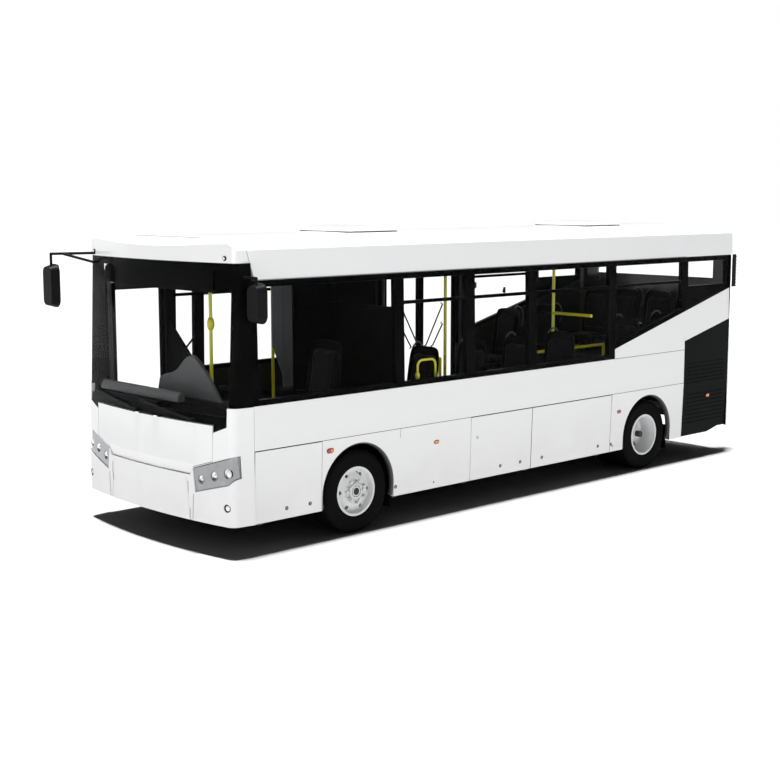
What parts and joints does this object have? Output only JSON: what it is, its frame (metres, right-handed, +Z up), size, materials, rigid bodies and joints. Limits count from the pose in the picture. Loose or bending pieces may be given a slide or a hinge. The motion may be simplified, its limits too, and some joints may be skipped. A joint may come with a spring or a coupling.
{
  "type": "low-entry midi city bus",
  "caption": "Low-entry midi city bus with glazed cabin, passenger doors on the right, skirt flaps, steered front wheels and twin rear wheels.",
  "frame": {"origin": "centre of the footprint on the road, under the middle of the box round bus and mirrors", "axes": "+X forward, +Y to the left of the bus, +Z up"},
  "size_m": [8.092, 2.9, 2.8414],
  "materials": {
    "paint_white": "smooth white body paint, soft gloss",
    "paint_black": "satin black paint",
    "glass_tint": "dark tinted safety glass",
    "glass_clear": "clear laminated windscreen glass",
    "plastic_black": "black moulded plastic with fine grain",
    "plastic_grey": "grey moulded plastic",
    "floor_vinyl": "grey slip-resistant floor covering",
    "chassis_black": "chassis black, slightly dusty",
    "steel_rim": "silver-grey painted steel wheel",
    "tyre_rubber": "black tyre rubber",
    "lamp_clear": "clear lamp cover over grey reflectors",
    "lamp_red": "red lamp lens",
    "rail_yellow": "yellow powder-coated rail",
    "seat_black": "black seat shell with fabric pads",
    "cast_grey": "raw cast iron and painted steel"
  },
  "bodies": {
    "root": {"side_wall_left": "paint_white", "side_wall_right": "paint_white", "side_glass": "glass_tint", "roof": "paint_white", "front_bumper": "paint_white", "headlamps": "lamp_clear", "screen_frame": "paint_black", "windscreen": "glass_clear", "front_dome": "paint_white", "rear_wall": "paint_white", "rear_glass": "glass_tint", "tail_lamps": "lamp_red", "rear_louvre": "plastic_black", "rear_corners": "paint_black", "door_gear": "plastic_grey", "floor": "floor_vinyl", "wheel_housings": "plastic_black", "chassis_frame": "chassis_black", "front_axle": "cast_grey", "rear_axle": "cast_grey", "engine_block": "cast_grey", "dashboard": "plastic_black", "window_frames": "paint_black", "passenger_seats": "seat_black", "driver_seat": "seat_black", "driver_partition": "plastic_black", "handrails": "rail_yellow", "destination_sign": "plastic_black", "mirrors": "plastic_black", "wipers": "plastic_black"},
    "door_front_leaf": {"door_front_leaf": "paint_black", "door_front_glass": "glass_tint"},
    "door_front_post": {"door_front_post": "chassis_black"},
    "door_mid_a_leaf": {"door_mid_a_leaf": "paint_black", "door_mid_a_glass": "glass_tint"},
    "door_mid_a_post": {"door_mid_a_post": "chassis_black"},
    "door_mid_b_leaf": {"door_mid_b_leaf": "paint_black", "door_mid_b_glass": "glass_tint"},
    "door_mid_b_post": {"door_mid_b_post": "chassis_black"},
    "engine_hood": {"engine_hood": "paint_black"},
    "flap_front_left": {"flap_front_left": "paint_white"},
    "flap_middle_left": {"flap_middle_left": "paint_white"},
    "flap_rear_left": {"flap_rear_left": "paint_white"},
    "front_flap": {"front_flap": "paint_white"},
    "hatch_front": {"hatch_front": "paint_white"},
    "hatch_rear": {"hatch_rear": "paint_white"},
    "knuckle_left": {"knuckle_left": "cast_grey"},
    "knuckle_right": {"knuckle_right": "cast_grey"},
    "radiator_door": {"radiator_door": "paint_black"},
    "steering_wheel": {"steering_wheel": "plastic_black"},
    "tie_rod": {"tie_rod": "chassis_black"},
    "wheel_front_left": {"wheel_front_left_tyre": "tyre_rubber", "wheel_front_left_rim": "steel_rim"},
    "wheel_front_right": {"wheel_front_right_tyre": "tyre_rubber", "wheel_front_right_rim": "steel_rim"},
    "wheel_rear_left": {"wheel_rear_left_tyre": "tyre_rubber", "wheel_rear_left_rim": "steel_rim"},
    "wheel_rear_right": {"wheel_rear_right_tyre": "tyre_rubber", "wheel_rear_right_rim": "steel_rim"}
  },
  "joints": [
    {"name": "steer", "type": "hinge", "parent": "root", "child": "knuckle_left", "pos_m": [2.291, 0.88, 0.3985], "axis": [0, 0, 1], "range_deg": [-40, 40]},
    {"name": "steer_right", "type": "hinge", "parent": "root", "child": "knuckle_right", "pos_m": [2.291, -0.88, 0.3985], "axis": [0, 0, 1], "range_deg": [-40, 40]},
    {"name": "tie_rod_swing", "type": "hinge", "parent": "knuckle_left", "child": "tie_rod", "pos_m": [2.061, 0.88, 0.28], "axis": [0, 0, 1], "range_deg": [-40, 40]},
    {"name": "steering_wheel_turn", "type": "hinge", "parent": "root", "child": "steering_wheel", "pos_m": [3.151, 0.56, 1.33], "axis": [-0.4226, 0, 0.9063], "range_deg": [-720, 720]},
    {"name": "roll_front_left", "type": "hinge", "parent": "knuckle_left", "child": "wheel_front_left", "pos_m": [2.291, 1.0325, 0.3985], "axis": [0, 1, 0], "continuous": true},
    {"name": "roll_front_right", "type": "hinge", "parent": "knuckle_right", "child": "wheel_front_right", "pos_m": [2.291, -1.0325, 0.3985], "axis": [0, 1, 0], "continuous": true},
    {"name": "roll_rear_left", "type": "hinge", "parent": "root", "child": "wheel_rear_left", "pos_m": [-2.184, 1.0325, 0.3985], "axis": [0, 1, 0], "continuous": true},
    {"name": "roll_rear_right", "type": "hinge", "parent": "root", "child": "wheel_rear_right", "pos_m": [-2.184, -1.0325, 0.3985], "axis": [0, 1, 0], "continuous": true},
    {"name": "door_front_open", "type": "hinge", "parent": "root", "child": "door_front_post", "pos_m": [3.509, -1.102, 1], "axis": [0, 0, 1], "range_deg": [-80, 0]},
    {"name": "door_front_fold", "type": "hinge", "parent": "door_front_post", "child": "door_front_leaf", "pos_m": [3.1845, -1.102, 1], "axis": [0, 0, 1], "range_deg": [0, 160]},
    {"name": "door_mid_a_open", "type": "hinge", "parent": "root", "child": "door_mid_a_post", "pos_m": [-0.151, -1.102, 1], "axis": [0, 0, 1], "range_deg": [-80, 0]},
    {"name": "door_mid_a_fold", "type": "hinge", "parent": "door_mid_a_post", "child": "door_mid_a_leaf", "pos_m": [-0.4635, -1.102, 1], "axis": [0, 0, 1], "range_deg": [0, 160]},
    {"name": "door_mid_b_open", "type": "hinge", "parent": "root", "child": "door_mid_b_post", "pos_m": [-1.437, -1.102, 1], "axis": [0, 0, 1], "range_deg": [0, 80]},
    {"name": "door_mid_b_fold", "type": "hinge", "parent": "door_mid_b_post", "child": "door_mid_b_leaf", "pos_m": [-1.1245, -1.102, 1], "axis": [0, 0, 1], "range_deg": [-160, 0]},
    {"name": "flap_front_left_hinge", "type": "hinge", "parent": "root", "child": "flap_front_left", "pos_m": [3.134, 1.2, 0.939], "axis": [1, 0, 0], "range_deg": [0, 100]},
    {"name": "flap_middle_left_hinge", "type": "hinge", "parent": "root", "child": "flap_middle_left", "pos_m": [0.3155, 1.2, 0.939], "axis": [1, 0, 0], "range_deg": [0, 100]},
    {"name": "flap_rear_left_hinge", "type": "hinge", "parent": "root", "child": "flap_rear_left", "pos_m": [-0.8265, 1.2, 0.939], "axis": [1, 0, 0], "range_deg": [0, 100]},
    {"name": "radiator_door_hinge", "type": "hinge", "parent": "root", "child": "radiator_door", "pos_m": [-2.873, 1.2, 0.9], "axis": [0, 0, 1], "range_deg": [-100, 0]},
    {"name": "engine_hood_hinge", "type": "hinge", "parent": "root", "child": "engine_hood", "pos_m": [-3.906, 0, 1.495], "axis": [0, 1, 0], "range_deg": [0, 80]},
    {"name": "front_flap_hinge", "type": "hinge", "parent": "root", "child": "front_flap", "pos_m": [3.843, 0, 1.172], "axis": [0, 1, 0], "range_deg": [-80, 0]},
    {"name": "hatch_front_hinge", "type": "hinge", "parent": "root", "child": "hatch_front", "pos_m": [1.716, 0, 2.7965], "axis": [0, 1, 0], "range_deg": [0, 60]},
    {"name": "hatch_rear_hinge", "type": "hinge", "parent": "root", "child": "hatch_rear", "pos_m": [-1.954, 0, 2.7965], "axis": [0, 1, 0], "range_deg": [0, 60]}
  ],
  "couplings": [
    {"joint": "steer_right", "follows": "steer", "ratio": 1},
    {"joint": "tie_rod_swing", "follows": "steer", "ratio": -1},
    {"joint": "steering_wheel_turn", "follows": "steer", "ratio": 18},
    {"joint": "door_front_fold", "follows": "door_front_open", "ratio": -2},
    {"joint": "door_mid_a_fold", "follows": "door_mid_a_open", "ratio": -2},
    {"joint": "door_mid_b_open", "follows": "door_mid_a_open", "ratio": -1},
    {"joint": "door_mid_b_fold", "follows": "door_mid_a_open", "ratio": 2}
  ]
}
